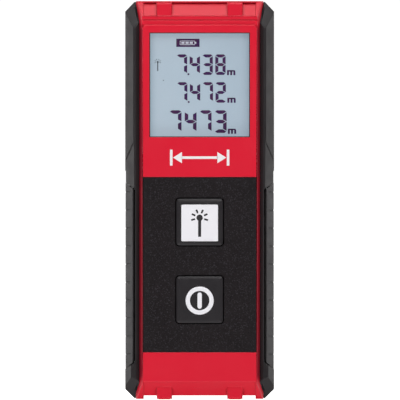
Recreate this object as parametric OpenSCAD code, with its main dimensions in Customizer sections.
// Handheld laser distance meter with a square display, two square keys and two AAA cells.
// X runs across the face, Y from the face to the back, Z up the body towards the optics.
// The origin is the middle of the base, on the plane that the feet stand on.

/* [Case] */
// Width over the bumpers
case_w = 43; // [43:0.5:45]
// Length from the feet to the optics end
case_h = 115; // [115:0.5:118]
// Depth from the key tops to the back
case_d = 26; // [26:0.5:28]
// Thickness of the face and back walls
wall = 1.6; // [1.4:0.1:1.7]
// Thickness of the side and end walls
side_wall = 1.5; // [1.3:0.1:1.6]
// Depth of the parting plane behind the middle of the case
split_y = 2; // [1.5:0.5:3]

/* [Display] */
// Width of the display opening
display_w = 29; // [27:0.5:29]
// Height of the display opening
display_h = 30.2; // [28:0.2:30.4]
// Height of the display's middle
display_z = 90.8; // [90.4:0.2:91]

/* [Keys] */
// Side of each square key
key_size = 13.5; // [12:0.5:13.5]
// Height of the keys above the face
key_proud = 0.6; // [0.4:0.1:0.8]
// Travel of each key
key_travel = 0.5; // [0.3:0.1:0.5]
// Height of the power key's middle
power_z = 28.8; // [27:0.2:30]
// Distance between the middles of the keys
key_pitch = 22.4; // [20:0.2:23]

/* [Battery] */
// Diameter of an AAA cell
cell_d = 10.5; // [10.1:0.1:10.5]
// Length of an AAA cell with its button
cell_l = 44.5; // [44:0.1:44.5]

/* [Optics] */
// Diameter of the receiving lens
lens_d = 12; // [11:0.5:12]
// Diameter of the laser barrel
barrel_d = 6; // [5:0.5:6]

/* [Hidden] */
$fn = 48;

half_w = case_w / 2;
face_y = -case_d / 2 + key_proud;
back_y = case_d / 2;
measure_z = power_z + key_pitch;
gap = 0.05;                       // air between pieces that only touch
far = 60;                         // longer than any cut needs

// Core of the case, inside the bumpers
core_x = half_w - 3.1;            // half width of the core's sides
face_x = half_w - 5;              // half width of the flat face
edge_x = half_w - 4.15;           // half width where the face's bevel ends
edge_drop = 1.9;                  // depth of that bevel
flare_y = 5.2;                    // depth over which the front and back corners flare out to the sides
cavity_flare = 4.3;               // the same for the hollow inside
base_z = 1.1;                     // the case's bottom wall, above the feet
bottom_slope = 4.1;               // run of the sloped bottom end at the face
back_slope = 3;                   // run of the slopes at the back
cap_z = case_h - 4.4;             // start of the sloped optics end
cap_y = face_y + 0.35;            // face of the band below the optics end
rim_y = face_y + 3.5;             // front edge of the optics end
seam_z = cap_z - 1.25;            // seam round the optics end
step_down_z = seam_z - 1.3;       // where the face steps down to the band below the seam
face_corner = 0.8;                // cut across the face's two upper corners
inner_x = core_x - side_wall;
inner_face_y = face_y + wall;
inner_back_y = back_y - wall;
foot_x = half_w - 11.3;           // middle of each rib on the sloped ends
foot_w = 4.4;                     // width of each rib
rib_r = 0.45;                     // rounding of the ribs' front edges
flange_x = half_w - 5.3;          // inner side of the flanges on the sloped ends
flange_z = 0.35;                  // lowest edge of the front flanges
lip_h = 0.45;                     // height of the lip round the optics end
lip_y = rim_y - 0.7;              // front face of that lip
pocket_h = 0.15;                  // step from the band up to the pockets' floors
slit = 0.45;                      // dark slit between the case and a bumper's ends

// Bumpers and grips
ridge_x = half_w - 2.55;          // ridge between a bumper's two facets
ridge_y = face_y + 1;
low_ridge = 0.75;                 // how much further out the ridge is below the grip
side_y = face_y + 4.4;            // front edge of a bumper's side wall
back_ridge_y = back_y - 1;
back_side_y = back_y - 4.8;
grip_x = half_w - 2.65;           // inner wall of the grip's recess
slot_x = half_w - 2.95;           // inner side of the slot beside the grip, at the front and back
step_z = 66;                      // lowest line of the step across a bumper
step_t = 0.18;                    // depth of that step
grip_z0 = 10.8;                   // lower end of the grip at its inner side
grip_z1 = 60.6;                   // upper end there
grip_rake = 2.9;                  // how much further both ends reach at the outer side
grip_pitch = 5.2;                 // distance between the grip's grooves
groove_h = 0.45;
groove_depth = 0.1;
mitre_gap = 0.22;                 // width of the gap that shows at the grip's ends

// Face details
panel_x = face_x - 0.1;           // half width of the keypad panel's recess
panel_z0 = 13.6;
panel_z1 = 64.2;
panel_t = 0.9;
key_gap = 0.3;
key_flange = key_size + 1.9;
key_flange_y = inner_face_y + 0.1;
key_flange_t = 0.8;
label_size = key_size - 2.9;      // white plate in the measuring key
symbol_drop = 0.25;               // the plate and the symbols sit this far below the keys' middles
icon_depth = 0.3;

// Display stack, from the window to the circuit board
lip = 0.7;                        // thickness of the face over the window's edge
window_t = 0.9;
window_w = display_w + 2.4;
window_h = display_h + 2.6;
window_y = face_y + lip + 0.02;
gasket_y = window_y + window_t + 0.03;
gasket_t = 0.3;
border = 0.22;                    // width of the gasket that shows round the glass
lcd_y = gasket_y + gasket_t + gap;
glass_t = 0.95;
lcd_w = display_w + 1.6;
lcd_h = display_h + 2.4;
ledge = 2.4;                      // contact ledge below the front glass
light_y = lcd_y + 2 * glass_t + gap;
light_t = 2.2;
board_t = 1.2;
board_y = light_y + light_t + 0.45;
board_back = board_y + board_t;
board_z0 = 12;
board_z1 = 107.2;

// Screws
top_screw = [half_w - 7.4, case_h - 5.3];
low_screw = [half_w - 10.5, 8.2];
screw_r = 1.1;
screw_post_r = 1.7;              // posts in the front of the case
head_r = 1.9;
head_h = 1.2;
top_seat = back_y - 1.8;
low_seat = back_y - 3.3;
board_screw = [14.2, 69.4];
lower_board_screw = [0, 14.6];

// Battery bay and door
bay_x = cell_d + 0.8;
bay_y = 0.2;
bay_z0 = 11.4;
contact_t = 0.4;
spring_l = 2.9;
bay_z1 = bay_z0 + cell_l + spring_l + 2 * contact_t;
cell_x = cell_d / 2 + 0.5;
cell_y = bay_y + cell_d / 2 + gap;
button_h = 0.8;
door_x = 13.25;
door_z0 = 5.6;
door_t = 1.6;
door_r = 1.6;                     // rounding of its lower corners
hinge_r = 1.2;
hinge_y = back_y - hinge_r;
hinge_z = bay_z1 + 2;
pin_r = 0.6;
pin_hole_r = 0.65;
tongue_x = 5.6;                   // half width of the latch tongue
tongue_z = 12.5;                  // top of the slots beside the tongue

// Optics
lens_x = 5;
laser_x = -7.6;
optics_y = 3.6;
carrier_z0 = 80;
carrier_z1 = case_h - 2.8;
bezel_x = 12.4;
bezel_y0 = -5;
bezel_y1 = 9.6;
bezel_top = case_h - 0.4;

red = [0.80, 0.06, 0.10];
dark_rubber = [0.16, 0.15, 0.16];
grip_rubber = [0.28, 0.27, 0.28];
black = [0.08, 0.08, 0.08];
steel = [0.75, 0.75, 0.77];
board_green = [0.05, 0.30, 0.14];
clear = [0.75, 0.85, 0.90, 0.4];

// ---- Helpers ----

function both_sides(half) =
    concat(half, [for (i = [len(half) - 1 : -1 : 0]) [-half[i].x, half[i].y]]);

function unit(v) = v / norm(v);

// Points of an arc of radius r that rounds the corner at b, between the lines to a and c
function corner_arc(a, b, c, r, steps = 4) =
    let (
        u = unit(a - b),
        v = unit(c - b),
        half = acos(u * v) / 2,
        centre = b + unit(u + v) * r / sin(half),
        first = b + u * r / tan(half) - centre,
        last = b + v * r / tan(half) - centre,
        from = atan2(first.y, first.x),
        turn = atan2(first.x * last.y - first.y * last.x, first * last)
    )
    [for (i = [0 : steps]) centre + r * [cos(from + turn * i / steps), sin(from + turn * i / steps)]];

// An outline with each corner rounded by its own radius; 0 leaves it sharp
function rounded(points, radii) = [
    for (i = [0 : len(points) - 1])
        let (
            n = len(points),
            a = points[(i + n - 1) % n],
            c = points[(i + 1) % n]
        )
        for (p = radii[i] == 0 ? [points[i]] : corner_arc(a, points[i], c, radii[i])) p
];

module prism_xy(points, z0, z1)
    translate([0, 0, z0]) linear_extrude(z1 - z0) polygon(points);

module prism_yz(points, x0, x1)
    translate([x0, 0, 0]) rotate([90, 0, 90]) linear_extrude(x1 - x0) polygon(points);

module prism_xz(points, y0, y1)
    translate([0, y1, 0]) rotate([90, 0, 0]) linear_extrude(y1 - y0) polygon(points);

// A box from its two corners
module span(low, high)
    translate(low) cube(high - low);

// A round post along Y
module post(x, z, r, y0, y1)
    translate([x, y0, z]) rotate([-90, 0, 0]) cylinder(r = r, h = y1 - y0);

// A cone along Y, r0 wide at y0 and r1 wide at y1
module cone_y(x, z, r0, r1, y0, y1)
    translate([x, y0, z]) rotate([-90, 0, 0]) cylinder(r1 = r0, r2 = r1, h = y1 - y0);

// A round rod along X
module rod_x(y, z, r, x0, x1)
    translate([x0, y, z]) rotate([0, 90, 0]) cylinder(r = r, h = x1 - x0);

// Everything beyond the plane through p with outward normal n
module beyond(p, n)
    translate(p) rotate([0, acos(n.z / norm(n)), atan2(n.y, n.x)])
        translate([-far, -far, 0]) cube([2 * far, 2 * far, far]);

module rounded_square(side, r) {
    square([side, side - 2 * r], center = true);
    square([side - 2 * r, side], center = true);
    for (x = [-1, 1], z = [-1, 1])
        translate([x, z] * (side / 2 - r)) circle(r = r);
}

// A square column with round corners along Y, centred on X and z
module square_post(side, r, z, y0, y1)
    translate([0, y1, z]) rotate([90, 0, 0]) linear_extrude(y1 - y0) rounded_square(side, r);

module mirror_copy() {
    children();
    mirror([1, 0, 0]) children();
}

// ---- Case ----

front_half = [
    [face_x, face_y], [edge_x, face_y + edge_drop], [core_x, face_y + flare_y], [core_x, split_y]
];
back_half = [
    [core_x, split_y], [core_x, back_y - flare_y], [edge_x, back_y - edge_drop], [face_x, back_y]
];
front_profile = [
    [split_y, base_z], [face_y + bottom_slope, base_z], [face_y, base_z + bottom_slope],
    [face_y, step_down_z], [cap_y, step_down_z], [cap_y, seam_z],
    [cap_y + 0.25, seam_z], [cap_y + 0.25, seam_z + 0.3], [cap_y, seam_z + 0.3],
    [cap_y, cap_z], [lip_y, case_h - lip_h], [lip_y, case_h], [split_y, case_h]
];
back_profile = [
    [split_y, base_z], [split_y, case_h], [back_y - back_slope, case_h], [back_y, case_h - back_slope],
    [back_y, base_z + back_slope], [back_y - back_slope, base_z]
];
front_cavity_half = [
    [face_x - side_wall + 0.6, inner_face_y], [inner_x, face_y + cavity_flare], [inner_x, split_y + 1]
];
front_cavity_profile = [
    [split_y + 1, base_z + side_wall], [face_y + bottom_slope + 0.5, base_z + side_wall],
    [inner_face_y, base_z + bottom_slope + 0.6], [inner_face_y, cap_z - 1.8],
    [rim_y + 1.3, case_h - 2.4], [rim_y + 1.3, case_h - side_wall], [split_y + 1, case_h - side_wall]
];
back_cavity_profile = [
    [split_y - 1, base_z + side_wall], [split_y - 1, case_h - side_wall],
    [back_y - back_slope - 0.6, case_h - side_wall], [inner_back_y, case_h - back_slope - 0.6],
    [inner_back_y, base_z + back_slope + 0.6], [back_y - back_slope - 0.6, base_z + side_wall]
];
back_cavity_half = [
    [inner_x, split_y - 1], [inner_x, back_y - cavity_flare], [face_x - side_wall + 0.6, inner_back_y]
];

// Where the optics bezel sits in the end wall
module optics_opening()
    span([-bezel_x - 0.1, bezel_y0 - 0.1, case_h - side_wall - 1],
         [bezel_x + 0.1, bezel_y1 + 0.1, case_h + 1]);

// Front view of a foot, with its lower corners cut off
foot_front = [
    [foot_x - foot_w / 2, 6], [foot_x - foot_w / 2, 0.6], [foot_x - foot_w / 2 + 0.6, 0],
    [foot_x + foot_w / 2 - 0.6, 0], [foot_x + foot_w / 2, 0.6], [foot_x + foot_w / 2, 6]
];

// Plan of a rib from y0 back to y1, with its front edges rounded
function rib_plan(y0, y1) = rounded([
    [foot_x - foot_w / 2, y0], [foot_x + foot_w / 2, y0],
    [foot_x + foot_w / 2, y1], [foot_x - foot_w / 2, y1]
], [rib_r, rib_r, 0, 0]);

// Feet and flanges on the sloped bottom end, for the front of the case
module front_feet() {
    flange = [
        [face_y, base_z + bottom_slope], [face_y, base_z + bottom_slope - 0.9], [face_y + 3.9, flange_z],
        [face_y + 8, flange_z], [face_y + 9, base_z + 0.1], [face_y + bottom_slope, base_z + 0.1]
    ];
    rib = [
        [face_y + 1.5, base_z + bottom_slope - 1.5], [face_y + 1.5, 0.5], [face_y + 2, 0],
        [face_y + 8, 0], [face_y + 9, base_z + 0.1], [face_y + bottom_slope, base_z + 0.1]
    ];

    front_view = [
        [flange_x, base_z + bottom_slope], [flange_x + 0.2, 1], [flange_x + 0.8, flange_z],
        [half_w, flange_z], [half_w, base_z + bottom_slope]
    ];
    intersection() {
        mirror_copy() intersection() {
            prism_yz(flange, flange_x, half_w);
            prism_xz(front_view, -far, far);
        }
        prism_xy(both_sides(front_half), 0, base_z + bottom_slope);
    }
    mirror_copy() intersection() {
        prism_yz(rib, foot_x - foot_w / 2, foot_x + foot_w / 2);
        prism_xz(foot_front, -far, far);
        prism_xy(rib_plan(face_y + 1.5, 0), -1, base_z + bottom_slope);
    }
}

// Cuts the face's upper corners down to the band below the seam
module face_corners()
    mirror_copy() prism_xz([
        [face_x - face_corner, step_down_z], [half_w, step_down_z],
        [half_w, step_down_z - face_corner * 1.2], [face_x, step_down_z - face_corner * 1.2]
    ], -far, cap_y);

// Pockets let into the sloped optics end, between its lip and its flanges
module cap_pockets() {
    floor_line = [
        [cap_y - 1, cap_z + pocket_h], [cap_y + 0.55, cap_z + pocket_h], [rim_y, case_h - lip_h],
        [rim_y - 2, case_h - lip_h]
    ];
    difference() {
        prism_yz(floor_line, -flange_x, flange_x);
        mirror_copy()
            span([foot_x - foot_w / 2, -far, 0], [foot_x + foot_w / 2, far, case_h + 1]);
    }
}

// Ribs that stand upright on the sloped optics end
module cap_ribs() {
    front = cap_y + 0.12;
    top = case_h - lip_h - 0.05;
    rib = [
        [front, cap_z - 0.1], [front, top - 0.35], [front + 0.3, top],
        [lip_y + 1, top], [cap_y + 1.2, cap_z - 0.1]
    ];
    mirror_copy() intersection() {
        prism_yz(rib, foot_x - foot_w / 2, foot_x + foot_w / 2);
        prism_xy(rib_plan(front, lip_y + 2), cap_z - 1, case_h);
    }
}

// Path of the seal round the parting plane, grown by extra
module seal_path(y0, y1, extra) {
    outer = [core_x - 0.45 + extra, case_h - 0.45 + extra, base_z + 0.45 - extra];
    inner = [core_x - 1.05 - extra, case_h - 1.05 - extra, base_z + 1.05 + extra];
    difference() {
        span([-outer.x, y0, outer.z], [outer.x, y1, outer.y]);
        span([-inner.x, y0 - 1, inner.z], [inner.x, y1 + 1, inner.y]);
        optics_opening();
    }
}

module front_cover()
    color(red) difference() {
        union() {
            difference() {
                intersection() {
                    prism_xy(both_sides(front_half), base_z, case_h);
                    prism_yz(front_profile, -half_w, half_w);
                }
                intersection() {
                    prism_xy(both_sides(front_cavity_half), base_z, case_h);
                    prism_yz(front_cavity_profile, -half_w, half_w);
                }
                cap_pockets();
                face_corners();
            }
            front_feet();
            cap_ribs();
            for (s = [-1, 1]) {
                post(s * top_screw.x, top_screw.y, screw_post_r, inner_face_y - 0.2, split_y);
                post(s * low_screw.x, low_screw.y, screw_post_r, inner_face_y - 0.2, split_y);
                post(s * board_screw.x, board_screw.y, 1.8, inner_face_y - 0.2, board_y);
            }
            post(lower_board_screw.x, lower_board_screw.y, 1.8, inner_face_y - 0.2, board_y);
        }
        for (s = [-1, 1]) {
            post(s * top_screw.x, top_screw.y, screw_r + gap, split_y - 8, split_y + 1);
            post(s * low_screw.x, low_screw.y, screw_r + gap, split_y - 8, split_y + 1);
            post(s * board_screw.x, board_screw.y, 0.75, board_y - 4, board_y + 1);
        }
        post(lower_board_screw.x, lower_board_screw.y, 0.75, board_y - 4, board_y + 1);
        span([-display_w / 2, face_y - 1, display_z - display_h / 2],
             [display_w / 2, inner_face_y + 1, display_z + display_h / 2]);
        span([-window_w / 2 - 0.1, face_y + lip, display_z - window_h / 2 - 0.1],
             [window_w / 2 + 0.1, inner_face_y + 0.5, display_z + window_h / 2 + 0.1]);
        span([-panel_x, face_y - 1, panel_z0], [panel_x, face_y + panel_t, panel_z1]);
        for (z = [power_z, measure_z])
            square_post(key_size + 2 * key_gap, 1.2, z, face_y - 1, inner_face_y + 1);
        seal_path(split_y - 0.6, split_y + 1, gap);
        optics_opening();
    }

module back_cover()
    color(red) difference() {
        union() {
            difference() {
                intersection() {
                    prism_xy(both_sides(back_half), base_z, case_h);
                    prism_yz(back_profile, -half_w, half_w);
                }
                intersection() {
                    prism_xy(both_sides(back_cavity_half), base_z, case_h);
                    prism_yz(back_cavity_profile, -half_w, half_w);
                }
            }
            back_feet();
            // Ledge that the door closes on, and the battery bay
            span([-15, back_y - 3.1, base_z + 2.8], [15, inner_back_y + 0.1, hinge_z + 2.9]);
            span([-bay_x - 1.3, bay_y - 1.2, bay_z0 - 1.2], [bay_x + 1.3, inner_back_y, bay_z1 + 1.2]);
            for (s = [-1, 1]) {
                post(s * top_screw.x, top_screw.y, 2.3, split_y, back_y - 0.5);
                post(s * low_screw.x, low_screw.y, 2.3, split_y, low_seat + 0.2);
            }
        }
        span([-bay_x, bay_y, bay_z0], [bay_x, back_y + 1, bay_z1]);
        prism_xz(door_outline(0.15, hinge_z + 1.3), inner_back_y - 0.05, back_y + 1);
        span([-door_x - 0.15, hinge_y - hinge_r - 0.15, hinge_z - 1.4],
             [door_x + 0.15, back_y + 1, hinge_z + 1.3]);
        rod_x(hinge_y, hinge_z, pin_hole_r, -door_x - 1.3, door_x + 1.3);
        for (s = [-1, 1]) {
            post(s * top_screw.x, top_screw.y, screw_r + 0.15, split_y - 1, back_y + 1);
            post(s * top_screw.x, top_screw.y, head_r + 0.15, top_seat, back_y + 1);
            post(s * low_screw.x, low_screw.y, screw_r + 0.15, split_y - 1, back_y + 1);
            post(s * low_screw.x, low_screw.y, head_r + 0.15, low_seat, back_y + 1);
        }
        span([-12.5, back_y - 0.15, 70], [12.5, back_y + 1, 100]);
        optics_opening();
    }

// Feet under the back of the case
module back_feet() {
    foot = [
        [back_y - 9, base_z + 0.1], [back_y - 8, 0], [back_y - 3.6, 0],
        [back_y - 2.6, base_z + 0.4], [back_y - 3.4, base_z + 0.4]
    ];
    mirror_copy() prism_yz(foot, foot_x - foot_w / 2, foot_x + foot_w / 2);
    intersection() {
        mirror_copy() prism_yz(foot, flange_x, half_w);
        prism_xy(both_sides(back_half), 0, base_z + 1);
    }
}

module case_seal()
    color(black) seal_path(split_y - 0.55, split_y, 0);

// ---- Bumpers and grips ----

ridge_r = 0.5;                    // rounding of the ridges
shoulder_r = 1.1;                 // rounding where the outer facets meet the side

// Section of a bumper, with its outer facets set in by t and its ridges moved out by wide
function bumper_section(t, wide = 0) = rounded([
    [edge_x + gap, face_y + edge_drop], [ridge_x - 1.5 * t + wide, ridge_y - 0.4 * t],
    [half_w - t, side_y + 0.4 * t], [half_w - t, back_side_y - 0.4 * t],
    [ridge_x - 1.5 * t + wide, back_ridge_y + 0.4 * t], [edge_x + gap, back_y - edge_drop - gap],
    [core_x + gap, back_y - flare_y], [core_x + gap, face_y + flare_y]
], [0, ridge_r, shoulder_r, shoulder_r, ridge_r, 0, 0, 0]);

// Side view of the thicker upper part of a bumper, which ends in a slanted step
upper_part = [
    [-far, case_h], [-far, step_z + 9], [ridge_y, step_z + 9], [side_y, step_z + 3.2],
    [side_y + 4, step_z], [back_side_y - 4, step_z], [back_side_y, step_z + 3.2],
    [back_ridge_y, step_z + 9], [far, step_z + 9], [far, case_h]
];

// Front view of a grip's recess from x outwards: its ends rake outwards
function grip_outline(x, shrink) = [
    [x, grip_z0 + shrink], [half_w + 1, grip_z0 - grip_rake + shrink],
    [half_w + 1, grip_z1 + grip_rake - shrink], [x, grip_z1 - shrink]
];

// Thin groove in the outer skin of a bumper, along the slanted step
module step_groove() {
    groove = 0.25;
    intersection() {
        prism_yz(concat(
            [for (i = [2 : 7]) upper_part[i]],
            [for (i = [7 : -1 : 2]) upper_part[i] - [0, groove]]
        ), core_x, half_w + 1);
        difference() {
            prism_xy(bumper_section(-1), 0, case_h);
            prism_xy(bumper_section(step_t + 0.15), -1, case_h + 1);
        }
    }
}

// Cuts one corner of a bumper: the plane through three points on its facets
module corner_facet(side_z, ridge_z, inner_z, front, wide = 0) {
    y0 = front ? side_y : back_side_y;
    y1 = front ? ridge_y : back_ridge_y;
    y2 = front ? face_y + edge_drop : back_y - edge_drop;
    a = [half_w, y0, side_z];
    b = [ridge_x + wide, y1, ridge_z];
    c = [edge_x, y2, inner_z];
    n = cross(a - b, c - b);
    outward = n * (n.x > 0 ? 1 : -1);
    beyond(b, outward);
}

// Slit between the case's flared front corner and the bumper
module side_slit(z0, z1)
    prism_xy([
        [edge_x - 0.1, face_y - 1], [edge_x + slit, face_y - 1], [edge_x + slit, face_y + edge_drop],
        [core_x + slit, face_y + flare_y - 0.5], [core_x - 0.1, face_y + flare_y - 0.5]
    ], z0, z1);

module right_bumper()
    color(dark_rubber) difference() {
        union() {
            prism_xy(bumper_section(step_t), 0.3, case_h - 0.2);
            prism_xy(bumper_section(0, low_ridge), 0.3, grip_z0 + 0.5);
            intersection() {
                prism_xy(bumper_section(0), step_z - 1, case_h - 0.2);
                prism_yz(upper_part, core_x - 4, half_w + 1);
            }
        }
        beyond([half_w, 0, case_h - 3], [1, 0, 0.95]);
        beyond([half_w, 0, 2.95], [1, 0, -1]);
        corner_facet(case_h - 3.2, case_h - 8.1, case_h - 6, true);
        corner_facet(3.9, 6.6, 4.8, true, low_ridge);
        corner_facet(case_h - 3.3, case_h - 7.2, case_h - 5.3, false);
        corner_facet(3.9, 6.6, 4.8, false, low_ridge);
        side_slit(case_h - 6.5, case_h);
        side_slit(0, base_z + bottom_slope + 0.4);
        step_groove();
        prism_xz(grip_outline(grip_x - gap, 0), -far, far);
        for (y = [[-far, face_y + 3], [back_y - 3, far]])
            prism_xz(grip_outline(slot_x, 0), y[0], y[1]);
    }

module left_bumper()
    color(dark_rubber) mirror([1, 0, 0]) right_bumper();

slot_w = 0.45;                    // width of the slot beside each grip
slot_h = 1.4;                     // depth of that slot
grip_front = [slot_x + slot_w, ridge_y + 0.35];
grip_back = [slot_x + slot_w, back_ridge_y - 0.45];
facet = [half_w - 0.1, side_y] - grip_front;
facet_normal = [facet.y, -facet.x] / norm(facet);
groove_start = grip_front + 0.35 * facet;
groove_end = [groove_start.x, back_side_y + (grip_back.y - back_side_y) * 0.65];
grip_section = rounded([
    [grip_x, grip_front.y + slot_h], [grip_front.x, grip_front.y + slot_h], grip_front,
    [half_w - 0.1, side_y], [half_w - 0.1, back_side_y],
    grip_back, [grip_front.x, grip_back.y - slot_h], [grip_x, grip_back.y - slot_h]
], [0, 0, 0.25, shoulder_r, shoulder_r, 0.25, 0, 0]);
// Section of one shallow groove, which runs over the front facet, the side and the back facet
groove_section = [
    groove_start, groove_start - groove_depth * facet_normal,
    [half_w - 0.1 - groove_depth, side_y + 0.1], [half_w - 0.1 - groove_depth, back_side_y - 0.1],
    groove_end - [groove_depth, groove_depth] * 0.7, groove_end,
    [half_w + 1, back_side_y], [half_w + 1, side_y]
];

// The grip's ends stand clear of the bumper only along their outer edges
module right_grip()
    color(grip_rubber) difference() {
        intersection() {
            prism_xy(grip_section, 0, case_h);
            union() {
                prism_xz(grip_outline(grip_x - gap, mitre_gap), -far, far);
                prism_xz(grip_outline(grip_x - gap, gap), face_y + 3, back_y - 3);
            }
        }
        for (z = [grip_z0 + 2 : grip_pitch : grip_z1])
            prism_xy(groove_section, z, z + groove_h);
    }

module left_grip()
    color(grip_rubber) mirror([1, 0, 0]) right_grip();

// ---- Keypad ----

module keypad_panel()
    color(black) difference() {
        span([-panel_x + 0.08, face_y + 0.02, panel_z0 + 0.1],
             [panel_x - 0.08, face_y + panel_t, panel_z1 - 0.1]);
        for (z = [power_z, measure_z])
            square_post(key_size + 2 * key_gap, 1.2, z, face_y - 1, inner_face_y + 1);
    }

// A square key with a bevelled top and a flange that keeps it behind the face
module key_body(z) {
    half = key_size / 2;
    top = -case_d / 2;
    bevel = 1.1;
    drop = 0.35;
    outline = [
        [half, key_flange_y + gap], [half, top + drop], [half - bevel, top],
        [bevel - half, top], [-half, top + drop], [-half, key_flange_y + gap]
    ];
    intersection() {
        square_post(key_size, 0.9, z, top - 1, key_flange_y + 1);
        prism_xy(outline, z - half, z + half);
        translate([0, 0, z]) prism_yz([for (p = outline) [p.y, p.x]], -half, half);
    }
    square_post(key_flange, 0.9, z, key_flange_y, key_flange_y + key_flange_t);
}

// Ring and bar, as deep as from y0 to y1 and grown by extra
module power_symbol(y0, y1, extra) {
    ring = [2.8 - extra, 4.05 + extra];
    bar_r = 0.64 + extra;
    bar_z = 1.7;
    translate([0, 0, power_z - symbol_drop]) {
        difference() {
            post(0, 0, ring[1], y0, y1);
            post(0, 0, ring[0], y0 - 1, y1 + 1);
        }
        span([-bar_r, y0, -bar_z], [bar_r, y1, bar_z]);
        for (s = [-1, 1])
            post(0, s * bar_z, bar_r, y0, y1);
    }
}

module power_key()
    color(black) difference() {
        key_body(power_z);
        power_symbol(-far, -case_d / 2 + icon_depth, 0.01);
    }

module power_icon()
    color("white") power_symbol(-case_d / 2, -case_d / 2 + icon_depth, 0);

module measure_key()
    color(black) difference() {
        key_body(measure_z);
        square_post(label_size + 0.1, 0.3, measure_z - symbol_drop, -far, -case_d / 2 + 0.5);
    }

// A dot on a stem with six rays round it
module laser_symbol(y0, y1, extra) {
    dot_z = measure_z + 1.25;
    dot_r = 0.9 + extra;
    stem = 0.42 + extra;
    ray = [0.25 + extra, 1.4 - extra, 2.5 + extra];
    post(0, dot_z, dot_r, y0, y1);
    span([-stem, y0, measure_z - 4.25 - extra], [stem, y1, dot_z]);
    for (s = [-1, 1], a = [22.5, 64, 106])
        translate([0, 0, dot_z]) rotate([0, s * a, 0])
            span([-ray[0], y0, ray[1]], [ray[0], y1, ray[2]]);
}

module measure_key_plate()
    color("white") difference() {
        square_post(label_size, 0.25, measure_z - symbol_drop, -case_d / 2 + 0.02, -case_d / 2 + 0.48);
        laser_symbol(-far, -case_d / 2 + 0.22, 0.01);
    }

module measure_icon()
    color(black) laser_symbol(-case_d / 2 + 0.02, -case_d / 2 + 0.22, 0);

// Silicone mat with a hollow plunger under each key
module keypad_mat()
    color([0.45, 0.45, 0.47]) difference() {
        top = key_flange_y + key_flange_t + gap;
        sheet_y = board_y - 0.8;
        union() {
            span([-12.5, sheet_y, power_z - 9], [12.5, board_y, measure_z + 9]);
            for (z = [power_z, measure_z])
                cone_y(0, z, 3, 4.6, top, sheet_y + 0.1);
        }
        for (z = [power_z, measure_z])
            difference() {
                cone_y(0, z, 2.6, 4, top + 1.2, board_y + 0.1);
                post(0, z, 1, top, board_y - 0.6);
            }
    }

// Thin sprung dome under each plunger
module switch_domes() {
    rise = key_travel - 0.15;
    base_r = 3;
    sheet = 0.12;
    steps = 6;
    curve = [for (i = [0 : steps]) [base_r * i / steps, rise * (1 - pow(i / steps, 2))]];
    inside = [
        for (i = [steps : -1 : 0]) [(base_r - sheet) * i / steps, (rise - sheet) * (1 - pow(i / steps, 2))]
    ];
    color(steel) for (z = [power_z, measure_z])
        translate([0, board_y, z]) rotate([90, 0, 0]) rotate_extrude() polygon(concat(curve, inside));
}

// ---- Display ----

module display_window()
    color(clear) span([-window_w / 2, window_y, display_z - window_h / 2],
                      [window_w / 2, window_y + window_t, display_z + window_h / 2]);

module display_gasket()
    color(black) difference() {
        span([-window_w / 2, gasket_y, display_z - window_h / 2],
             [window_w / 2, gasket_y + gasket_t, display_z + window_h / 2]);
        span([-display_w / 2 + border, gasket_y - 1, display_z - display_h / 2 + border],
             [display_w / 2 - border, gasket_y + 1, display_z + display_h / 2 - border]);
    }

module lcd_panel()
    color([0.62, 0.68, 0.74]) {
        span([-lcd_w / 2, lcd_y, display_z - lcd_h / 2],
             [lcd_w / 2, lcd_y + glass_t, display_z + lcd_h / 2]);
        span([-lcd_w / 2, lcd_y + glass_t, display_z - lcd_h / 2 - ledge],
             [lcd_w / 2, lcd_y + 2 * glass_t, display_z + lcd_h / 2]);
    }

module lcd_backlight()
    color("white") span([-lcd_w / 2 + 0.2, light_y, display_z - lcd_h / 2],
                        [lcd_w / 2 - 0.2, light_y + light_t, display_z + lcd_h / 2 - 0.2]);

module lcd_frame()
    color(black) difference() {
        span([-lcd_w / 2 - 0.7, lcd_y + 0.45, display_z - lcd_h / 2 - ledge - 0.7],
             [lcd_w / 2 + 0.7, board_y - gap, display_z + lcd_h / 2 + 0.7]);
        span([-lcd_w / 2 - 0.1, lcd_y, display_z - lcd_h / 2 - ledge - 0.1],
             [lcd_w / 2 + 0.1, board_y, display_z + lcd_h / 2 + 0.1]);
    }

module lcd_connector()
    color([0.85, 0.45, 0.50]) span([-lcd_w / 2 + 0.6, light_y, display_z - lcd_h / 2 - ledge + 0.3],
                                   [lcd_w / 2 - 0.6, board_y, display_z - lcd_h / 2 - 0.4]);

// ---- Circuit board ----

module main_board()
    color(board_green) difference() {
        span([-inner_x + 0.4, board_y, board_z0], [inner_x - 0.4, board_back, board_z1]);
        for (s = [-1, 1])
            post(s * board_screw.x, board_screw.y, 0.9, board_y - 1, board_back + 1);
        post(lower_board_screw.x, lower_board_screw.y, 0.9, board_y - 1, board_back + 1);
    }

// Low flat packages on the back of the board: middle x, middle z, width, height, thickness
module board_chips()
    color(black) for (c = [[3, 68, 9, 9, 1.2], [-8, 66, 6, 5, 1], [8.5, 46, 5, 4, 1], [9, 25, 6, 4, 1.2]])
        span([c[0] - c[2] / 2, board_back, c[1] - c[3] / 2],
             [c[0] + c[2] / 2, board_back + c[4], c[1] + c[3] / 2]);

module board_passives()
    color([0.55, 0.42, 0.25]) {
        for (x = [-12 : 2.4 : -2.4])
            span([x, board_back, 58], [x + 1, board_back + 0.6, 60]);
        for (z = [20 : 3.2 : 50])
            span([12.5, board_back, z], [14.5, board_back + 0.6, z + 1]);
    }

module shield_can()
    color(steel) span([-12, board_back, 88], [2, board_back + 1.2, 100]);

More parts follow.
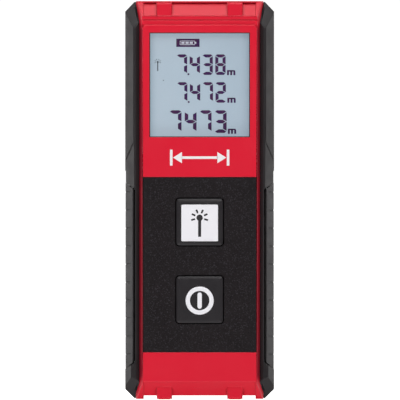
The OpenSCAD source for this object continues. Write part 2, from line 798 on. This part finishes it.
module board_screws()
    color(steel) for (p = [board_screw, [-board_screw.x, board_screw.y], lower_board_screw]) {
        post(p.x, p.y, 0.7, board_y - 3.6, board_back);
        difference() {
            post(p.x, p.y, 1.6, board_back, board_back + 0.9);
            for (a = [0, 90])
                translate([p.x, board_back + 0.65, p.y]) rotate([0, a, 0])
                    cube([1.8, 0.7, 0.4], center = true);
        }
    }

module beeper()
    color([0.80, 0.68, 0.35]) {
        post(-7.5, 33, 5, board_back, board_back + 1);
        post(-7.5, 33, 3.4, board_back + 1, board_back + 1.6);
    }

// ---- Optics ----

module upright(x, r0, r1, z0, z1)
    translate([x, optics_y, z0]) cylinder(r1 = r0, r2 = r1, h = z1 - z0);

module optics_carrier()
    color(black) difference() {
        union() {
            upright(lens_x, 4, lens_d / 2 + 0.8, carrier_z0, carrier_z1 - 6);
            upright(lens_x, lens_d / 2 + 0.8, lens_d / 2 + 0.8, carrier_z1 - 6, carrier_z1);
            upright(laser_x, barrel_d / 2 + 1, barrel_d / 2 + 1, carrier_z0 + 4, carrier_z1);
            span([laser_x, optics_y - 1.2, carrier_z0 + 4], [lens_x, optics_y + 1.2, carrier_z1]);
            span([-11.5, optics_y + 3, carrier_z1 - 3], [11.5, back_y - 2.2, carrier_z1 - 1]);
        }
        upright(lens_x, 2.4, lens_d / 2 - 0.6, carrier_z0 - 1, carrier_z1 - 2.4);
        upright(lens_x, lens_d / 2 + gap, lens_d / 2 + gap, carrier_z1 - 2.4, carrier_z1 + 1);
        upright(laser_x, barrel_d / 2 + gap, barrel_d / 2 + gap, carrier_z0, carrier_z1 + 1);
    }

module receiver_lens()
    color(clear) {
        ball = 14;
        intersection() {
            upright(lens_x, lens_d / 2, lens_d / 2, carrier_z1 - 2.35, carrier_z1 + 2);
            translate([lens_x, optics_y, carrier_z1 + 1.5 - ball]) sphere(r = ball);
        }
    }

module receiver_sensor()
    color(steel) upright(lens_x, 2.3, 2.3, carrier_z0 - 2, carrier_z0 - gap);

module sensor_board()
    color(board_green) span([lens_x - 5, -1.8, carrier_z0 - 3.2], [lens_x + 5, optics_y + 5, carrier_z0 - 2]);

module laser_barrel()
    color([0.78, 0.60, 0.25]) difference() {
        upright(laser_x, barrel_d / 2, barrel_d / 2, carrier_z0 + 2, carrier_z1 - 0.6);
        upright(laser_x, barrel_d / 2 - 0.8, barrel_d / 2 - 0.8, carrier_z0 + 1, carrier_z1);
    }

module laser_diode()
    color(steel) {
        upright(laser_x, barrel_d / 2 - 0.85, barrel_d / 2 - 0.85, carrier_z0 + 2.2, carrier_z0 + 5.5);
        for (a = [0, 120, 240])
            translate([laser_x, optics_y, carrier_z0 - 1.5]) rotate(a) translate([1, 0, 0])
                cylinder(r = 0.2, h = 4);
    }

module collimator_lens()
    color(clear) upright(laser_x, barrel_d / 2 - 0.85, barrel_d / 2 - 0.85, carrier_z1 - 4, carrier_z1 - 2);

module optics_bezel()
    color(black) difference() {
        union() {
            span([-bezel_x, bezel_y0, case_h - side_wall - 0.5], [bezel_x, bezel_y1, bezel_top]);
            span([-bezel_x - 1, bezel_y0 - 0.8, case_h - side_wall - 1.2],
                 [bezel_x + 1, bezel_y1 - 0.9, case_h - side_wall - gap]);
        }
        upright(lens_x, lens_d / 2 + 0.2, lens_d / 2 + 0.2, carrier_z1 - 1, case_h + 1);
        upright(laser_x, 2.4, 2.4, carrier_z1 - 1, bezel_top - 0.4);
        upright(laser_x, 1.9, 1.9, carrier_z1 - 1, case_h + 1);
    }

module laser_window()
    color(clear) upright(laser_x, 2.35, 2.35, bezel_top - 1.4, bezel_top - 0.42);

// ---- Battery ----

// A cell at x with its button up or down, resting where low says its bottom is
module cell(x, low, button_up) {
    body_l = cell_l - button_h;
    body_low = low + (button_up ? 0 : button_h);
    button_low = button_up ? low + body_l : low;
    translate([x, cell_y, body_low]) cylinder(r = cell_d / 2, h = body_l);
    translate([x, cell_y, button_low]) cylinder(r = 1.9, h = button_h);
}

module battery_cell_left()
    color([0.20, 0.35, 0.55]) cell(-cell_x, bay_z0 + contact_t + spring_l, true);

module battery_cell_right()
    color([0.20, 0.35, 0.55]) cell(cell_x, bay_z0 + contact_t, false);

spring_turns = 2.5;
spring_steps = 30;
spring_sides = 6;
wire_r = 0.3;

// Conical coil spring, wide at z 0 and narrow at z spring_l, swept as one closed tube
module coil_spring() {
    rise = spring_l - 2 * wire_r - 0.04;
    rings = [
        for (i = [0 : spring_steps]) let (
            t = i / spring_steps,
            turn = 360 * spring_turns * t,
            r = 3.8 - 1.5 * t
        ) [for (k = [0 : spring_sides - 1]) let (
            a = 360 * k / spring_sides,
            out = r + wire_r * cos(a)
        ) [out * cos(turn), out * sin(turn), wire_r + 0.02 + rise * t + wire_r * sin(a)]]
    ];
    last = spring_steps * spring_sides;
    polyhedron(
        points = [for (ring = rings) for (p = ring) p],
        faces = concat(
            [for (i = [0 : spring_steps - 1], k = [0 : spring_sides - 1]) let (
                n = (k + 1) % spring_sides,
                a = i * spring_sides,
                b = a + spring_sides
            ) [a + k, a + n, b + n, b + k]],
            [[for (k = [spring_sides - 1 : -1 : 0]) k]],
            [[for (k = [0 : spring_sides - 1]) last + k]]
        )
    );
}

module battery_spring_left()
    color(steel) translate([-cell_x, cell_y, bay_z0 + contact_t]) coil_spring();

module battery_spring_right()
    color(steel) translate([cell_x, cell_y, bay_z1 - contact_t]) mirror([0, 0, 1]) coil_spring();

// Flat contact plates at the ends of the bay
module contact_plate(x0, x1, z)
    span([x0, cell_y - 4, z], [x1, cell_y + 4, z + contact_t]);

module contact_bridge()
    color(steel) contact_plate(-cell_x - 4.5, cell_x + 4.5, bay_z0);

module positive_terminal()
    color(steel) contact_plate(-cell_x - 4.5, -1, bay_z1 - contact_t);

module negative_terminal()
    color(steel) contact_plate(1, cell_x + 4.5, bay_z1 - contact_t);

// Outline of the door, grown by extra, up to the height top
function door_outline(extra, top) = rounded([
    [-door_x - extra, top], [-door_x - extra, door_z0 - extra],
    [door_x + extra, door_z0 - extra], [door_x + extra, top]
], [0, door_r + extra, door_r + extra, 0]);

module battery_door()
    color(black) difference() {
        union() {
            prism_xz(door_outline(0, hinge_z), back_y - door_t, back_y);
            rod_x(hinge_y, hinge_z, hinge_r, -door_x, door_x);
            rod_x(hinge_y, hinge_z, pin_r, -door_x - 1.1, door_x + 1.1);
            // Detent ridge on the latch tongue's lower edge
            rod_x(back_y - 0.9, door_z0 + 0.25, 0.4, 1 - tongue_x, tongue_x - 1);
        }
        for (s = [-1, 1])
            span([s * tongue_x - 0.25, back_y - door_t - 1, door_z0 - 1],
                 [s * tongue_x + 0.25, back_y + 1, tongue_z]);
        // Thumb recess with three ridges left standing across the tongue
        difference() {
            span([-tongue_x + 0.9, back_y - 0.6, door_z0 + 0.9], [tongue_x - 0.9, back_y + 1, tongue_z]);
            for (z = [door_z0 + 2.2 : 1.7 : tongue_z - 1])
                span([-tongue_x, back_y - 1, z], [tongue_x, back_y - 0.15, z + 0.7]);
        }
    }

module door_foam()
    color([0.25, 0.25, 0.26]) span([-9, inner_back_y - 0.55, 28], [9, inner_back_y, 42]);

// ---- Fasteners and label ----

// A pan-head screw along Y with a cross recess, its head seated at seat_y
module case_screw(p, seat_y) {
    post(p.x, p.y, screw_r, split_y - 5, seat_y);
    difference() {
        post(p.x, p.y, head_r, seat_y, seat_y + head_h);
        for (a = [0, 90])
            translate([p.x, seat_y + head_h, p.y]) rotate([0, a, 0])
                cube([2.2, 1.2, 0.5], center = true);
    }
}

module case_screws()
    color(steel) for (s = [-1, 1]) {
        case_screw([s * top_screw.x, top_screw.y], top_seat);
        case_screw([s * low_screw.x, low_screw.y], low_seat);
    }

module rating_label()
    color([0.72, 0.72, 0.74]) span([-12.4, back_y - 0.13, 70.1], [12.4, back_y - 0.02, 99.9]);

// ---- Nodes ----

front_cover();
back_cover();
case_seal();
left_bumper();
right_bumper();
left_grip();
right_grip();
keypad_panel();
display_window();
display_gasket();
lcd_panel();
lcd_backlight();
lcd_frame();
lcd_connector();
main_board();
board_chips();
board_passives();
shield_can();
board_screws();
beeper();
keypad_mat();
switch_domes();
measure_key();
measure_key_plate();
measure_icon();
power_key();
power_icon();
optics_carrier();
receiver_lens();
receiver_sensor();
sensor_board();
laser_barrel();
laser_diode();
collimator_lens();
optics_bezel();
laser_window();
battery_cell_left();
battery_cell_right();
battery_spring_left();
battery_spring_right();
contact_bridge();
positive_terminal();
negative_terminal();
battery_door();
door_foam();
case_screws();
rating_label();
